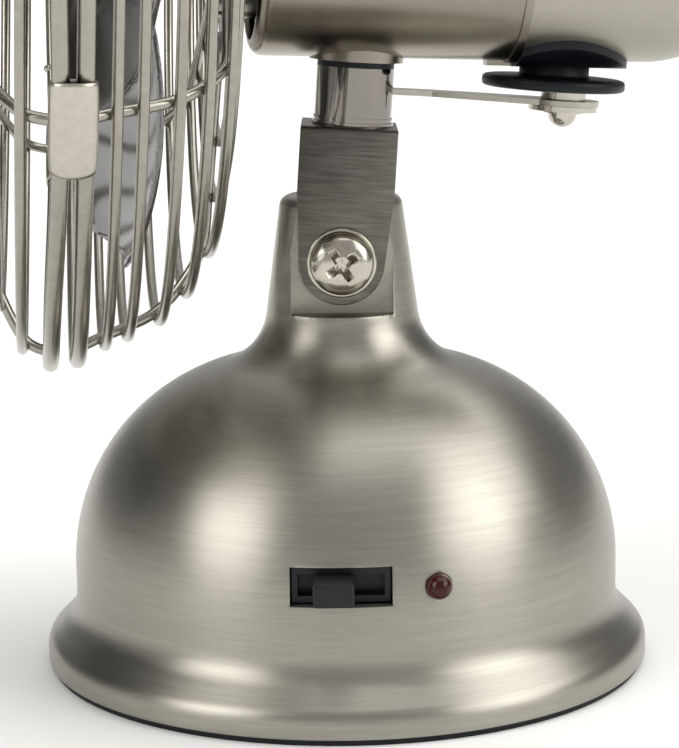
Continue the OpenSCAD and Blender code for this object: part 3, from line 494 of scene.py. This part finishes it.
def common(me, other, bevel=0.0, angle=35, segs=2):
    """The volume two meshes share, with its sharp edges rounded by bevel mm."""
    ob = bpy.data.objects.new("tmp", me)
    tool = bpy.data.objects.new("tool", other)
    for o in (ob, tool):
        scene.collection.objects.link(o)
    b = ob.modifiers.new("share", "BOOLEAN")
    b.object, b.operation, b.solver = tool, "INTERSECT", "EXACT"
    b = ob.modifiers.new("edge", "BEVEL")
    b.width, b.segments, b.limit_method, b.angle_limit = bevel * MM, segs, "ANGLE", math.radians(angle)
    b.harden_normals = True
    bpy.context.view_layer.update()
    out = applied(ob)
    for o in (ob, tool):
        bpy.data.objects.remove(o)
    return out


Y_AXIS = Matrix(((1, 0, 0, 0), (0, 0, 1, 0), (0, 1, 0, 0), (0, 0, 0, 1)))  # local Z to +Y
leg = arc((0, 0), 9, 180 + 5, 360 - 5, 28) + [(10.15, 14), (10.15, 28.5), (-10.15, 28.5), (-10.15, 14)]
strip = [(-11.7, -20)] + arc((-10.3, 26.6), 1.4, 180, 90, 8) + arc((10.3, 26.6), 1.4, 90, 0, 8) + [(11.7, -20)]
strip += [(9.7, -20)] + arc((9.0, 25.3), 0.7, 0, 90, 5) + arc((-9.0, 25.3), 0.7, 90, 180, 5) + [(-9.7, -20)]
yoke_me = common(prism("strip", strip, -20, 20, Y_AXIS), prism("leg", leg, -20, 20, X_AXIS), 0.28, 40, 3)
yoke_me.transform(YOKE)
finish_mesh("yoke_strip", yoke_me, "yoke", "yoke", ["yoke_bracket"])

# ---------------------------------------------------------------- switch knob
knob = cut(block((55.6, -6.45, 27.45), (64.0, 1.55, 32.15)), [], 0.55, 30, 4)
foot = block((52.7, -5.85, 27.9), (55.7, 0.95, 31.7))
finish_mesh("slide_knob", join("knob", [knob, foot]), "black", "switch_knob", ["switch_knob"],
            smooth=False)

# ---------------------------------------------------------------- crank disc
disc = lathe("disc", [(0, 0), (14.2, 0), (14.75, 0.15), (15.1, 0.5), (15.2, 0.95), (15.2, 1.55), (15.1, 2.0),
                      (14.75, 2.35), (14.2, 2.5), (8.3, 2.5), (7.6, 2.75), (7.4, 3.3), (7.4, 8.4), (0, 8.4)],
             128, CRANK)
pin = Matrix.Translation((8 * math.cos(math.radians(150)) * MM, 8 * math.sin(math.radians(150)) * MM, 0))
boss = lathe("boss", [(0, -0.5), (3.2, -0.5), (3.5, -0.3), (3.5, 0.5), (0, 0.5)], 48, CRANK @ pin)
finish_mesh("crank_wheel", join("crank", [disc, boss]), "rubber", "crank", ["crank_disc"])

# ---------------------------------------------------------------- guard
TURN, RIM, RIM_Y, THIN, THICK = 7.4, 90.8, -64.3, 1.1, 1.65
CLIPS = [TURN - 30 + 120 * i for i in range(3)]
FRONT = [(32.5, 86.5), (45.4, 85), (57.3, 82.6), (68.7, 79.2), (79.1, 74.8), (87.8, 70)]
REAR = [(87, 53.2), (85.1, 48.6), (81.8, 42), (76.1, 36.5), (67.7, 32), (56.2, 30.2), (44.6, 29.4)]


def polar_pt(r, y, a):
    """Point at radius r and angle a about the fan axis, y mm from the pivot post."""
    return (r * math.cos(math.radians(a)), y + HUB_Y, r * math.sin(math.radians(a)))


def near_clip(a):
    gap = min(abs((a - c + 180) % 360 - 180) for c in CLIPS)
    return math.exp(-(gap / 24.0) ** 2)


def hoop(name, r, y, wire, segs=180, sides=14, bend=0.0):
    return tube(name, [polar_pt(r, y + bend * near_clip(360 * i / segs), 360 * i / segs) for i in range(segs)],
                wire, sides, True, MOTOR)


def smooth_path(pts, per=6):
    """Rounded path through [radius, y] points."""
    out = []
    for i in range(len(pts) - 1):
        p = [Vector(pts[max(i - 1, 0)]), Vector(pts[i]), Vector(pts[i + 1]), Vector(pts[min(i + 2, len(pts) - 1)])]
        for k in range(per):
            t = k / per
            out.append(tuple(0.5 * (2 * p[1] + (p[2] - p[0]) * t + (2 * p[0] - 5 * p[1] + 4 * p[2] - p[3]) * t * t
                                    + (3 * p[1] - p[0] - 3 * p[2] + p[3]) * t ** 3)))
    return out + [tuple(pts[-1])]


def wires(name, path):
    curve = smooth_path(path)
    return [tube(name, [polar_pt(r, y, TURN - 90 + 60 * i) for r, y in curve], THIN, 14, False, MOTOR)
            for i in range(6)]


front_path = [(20, -88.2)] + [(r - (1.9 if r > 75 else 1.1), -y + (0.4 if r > 75 else 1.5)) for r, y in FRONT]
front_path += [(RIM - 2.4, RIM_Y - 0.3)]
rear_rim = (RIM - 0.8, RIM_Y + 5.5)
rear_path = [(rear_rim[0] - 2.4, rear_rim[1] + 0.3)]
rear_path += [(r - (1.5 if r > 60 else 0.3), -y - (1.1 if r > 60 else 1.85)) for r, y in REAR] + [(22, -29.7)]
front_hoops = [hoop("ring", r, -y, THIN) for r, y in FRONT] + [hoop("rim", RIM, RIM_Y, THICK, 240, 20, 1.2)]
knot = Matrix.Translation(Vector(polar_pt(RIM, RIM_Y + 0.6, 203)) * MM) @ Matrix.Rotation(math.radians(-203), 4, "Y")
front_hoops.append(lathe("knot", [(0, -0.9), (1.5, -0.75), (2.15, -0.3), (2.2, 0.2), (1.6, 0.8), (0, 0.95)], 24,
                         MOTOR @ knot))
finish_mesh("front_hoops", join("front_hoops", front_hoops), "wire", "head", ["guard_front_rings"])
rear_hoops = [hoop("ring", r, -y, THIN) for r, y in REAR] + [hoop("rim", rear_rim[0], rear_rim[1], THICK, 240, 20)]
finish_mesh("rear_hoops", join("rear_hoops", rear_hoops), "wire", "head", ["guard_rear_rings"])
finish_mesh("front_wires", join("front_wires", wires("spoke", front_path)), "wire", "head", ["guard_front_spokes"])
finish_mesh("rear_wires", join("rear_wires", wires("spoke", rear_path)), "wire", "head", ["guard_rear_spokes"])

# ---------------------------------------------------------------- blades
def blade(turn, nu=36, nv=20):
    top, low = [], []
    for i in range(nu + 1):
        u = i / nu
        r = 8 + 68 * u
        half = 29 * math.sin(math.radians(20 + 150 * u ** 0.85)) ** 0.6 * (0.5 + 0.62 * u)
        for j in range(nv + 1):
            v = 2 * j / nv - 1
            w, lean = half * v, math.radians(34 - 14 * u)
            x, z = r * math.cos(w / (r + 16)), r * math.sin(w / (r + 16))
            y = w * math.sin(lean) + 3 * (1 - v * v) + HUB_Y - 52
            px, pz = x * math.cos(turn) + z * math.sin(turn), z * math.cos(turn) - x * math.sin(turn)
            top.append((px, y - 0.55, pz))
            low.append((px, y + 0.55, pz))
    row, n = nv + 1, len(top)
    quads = [(i * row + j, i * row + j + 1, (i + 1) * row + j + 1, (i + 1) * row + j)
             for i in range(nu) for j in range(nv)]
    rim = list(range(nv)) + [i * row + nv for i in range(nu)] + [nu * row + nv - j for j in range(nv)]
    rim += [(nu - i) * row for i in range(nu)]
    faces = quads + [[q + n for q in reversed(f)] for f in quads]
    faces += [[a, b, b + n, a + n] for a, b in zip(rim, rim[1:] + rim[:1])]
    return cut(mesh("blade", top + low, faces, MOTOR), [], 0.3, 50, 2)


blades = join("blades", [blade(math.radians(20 + 90 * k)) for k in range(4)])
finish_mesh("blade_set", blades, "blade", "rotor", ["fan_blades"])

# ---------------------------------------------------------------- clips
sleeves = []
for c in CLIPS:
    cx, cy, n_a, n_s = RIM - 0.35, RIM_Y + 3.4, 24, 48
    tilt = math.atan2(0.8, 5.5)
    verts, faces = [], []
    for half_y, half_r in ((4.4, 3.0), (4.0, 2.6)):
        for i in range(n_a + 1):
            u = 2 * i / n_a - 1
            bulge = 1 - 0.04 * u ** 4
            for k in range(n_s):
                t = 2 * math.pi * k / n_s
                a, b = math.cos(t), math.sin(t)
                e = abs(a) ** 0.85 * (1 if a > 0 else -1) * half_y * bulge
                g = abs(b) ** 0.9 * (1 if b > 0 else -1) * half_r * bulge
                span = 5.3 + 0.4 * b
                verts.append(polar_pt(cx + g * math.cos(tilt) - e * math.sin(tilt) * 0.6,
                                      cy + e * math.cos(tilt) + g * math.sin(tilt), c + u * span))
    shell_n = (n_a + 1) * n_s
    for s in (0, 1):
        for i in range(n_a):
            for k in range(n_s):
                q, w = s * shell_n + i * n_s, (k + 1) % n_s
                faces.append([q + k, q + w, q + n_s + w, q + n_s + k])
    for i in (0, n_a):
        for k in range(n_s):
            w = (k + 1) % n_s
            faces.append([i * n_s + k, i * n_s + w, shell_n + i * n_s + w, shell_n + i * n_s + k])
    sleeves.append(mesh("sleeve", verts, faces, MOTOR))
finish_mesh("clip_sleeves", join("clips", sleeves), "clip", "head", ["guard_clips"])

# ---------------------------------------------------------------- camera
cam = bpy.data.objects.new("camera", bpy.data.cameras.new("camera"))
scene.collection.objects.link(cam)
scene.camera = cam
cam.data.sensor_fit = "HORIZONTAL"
cam.data.sensor_width = 36.0
cam.data.lens = 125.29
pitch, yaw, roll = (math.radians(a) for a in (10.572, 0.092, -0.833))
fwd = Vector((-math.cos(pitch), 0, -math.sin(pitch)))
fwd.rotate(Matrix.Rotation(yaw, 3, "Z"))
right = fwd.cross(Vector((0, 0, 1))).normalized()
up = right.cross(fwd)
spin = Matrix.Rotation(-roll, 3, fwd)
right, up = spin @ right, spin @ up
cam.matrix_world = basis(right, up, -fwd, Vector((0.5, 0, 0.15454)))
cam.data.clip_start, cam.data.clip_end = 0.02, 60.0

# ---------------------------------------------------------------- floor and light
bm = bmesh.new()
bmesh.ops.create_grid(bm, x_segments=8, y_segments=8, size=20.0)
me = bpy.data.meshes.new("floor")
bm.to_mesh(me)
bm.free()
floor = bpy.data.objects.new("floor", me)
scene.collection.objects.link(floor)
fm, fn, fb = material("floor_white", (0.93, 0.93, 0.925), 0.7)
fb.inputs["Specular IOR Level"].default_value = 0.15
fv = fn.noise(fn.coords(), 0.004, 2.0)
fn.links.new(fn.mix(fv, (0.925, 0.925, 0.92), (0.94, 0.94, 0.937)), fb.inputs["Base Color"])
me.materials.append(fm)

world = bpy.data.worlds.new("studio")
scene.world = world
world.use_nodes = True
wn = Nodes(world.node_tree)
bg = world.node_tree.nodes["Background"]
d = wn.vmath("NORMALIZE", wn.new("ShaderNodeTexCoord").outputs["Generated"])


def lobe(direction, inner, outer, strength):
    dot = wn.vmath("DOT_PRODUCT", d, tuple(Vector(direction).normalized()))
    return wn.math("MULTIPLY", wn.step(dot, math.cos(math.radians(outer)), math.cos(math.radians(inner))), strength)


def polar(az, el):
    """Direction at az degrees from +X towards +Y, and el above the horizon."""
    a, e = math.radians(az), math.radians(el)
    return (math.cos(e) * math.cos(a), math.cos(e) * math.sin(a), math.sin(e))


light = 0.46
for az, el, inner, outer, power in ((62, 24, 12, 25, 2.3), (84, 42, 12, 26, 2.0), (130, 56, 10, 28, 0.9),
                                    (-53, 22, 9, 22, 2.2), (-60, 40, 9, 23, 1.9), (180, 66, 16, 44, 0.8),
                                    (-100, 38, 12, 32, -0.32), (-134, 52, 14, 34, -0.3),
                                    (-128, 14, 14, 34, -0.28), (128, 14, 14, 34, -0.28)):
    light = wn.math("ADD", light, lobe(polar(az, el), inner, outer, power))
light = wn.math("MAXIMUM", light, 0.06)
wn.links.new(light, bg.inputs["Strength"])
bg.inputs["Color"].default_value = (1.0, 0.985, 0.96, 1.0)

lamp = bpy.data.objects.new("overhead", bpy.data.lights.new("overhead", "SUN"))
lamp.data.energy, lamp.data.angle = 0.5, math.radians(50)
scene.collection.objects.link(lamp)

scene.view_settings.view_transform = "Standard"
scene.view_settings.look = "None"
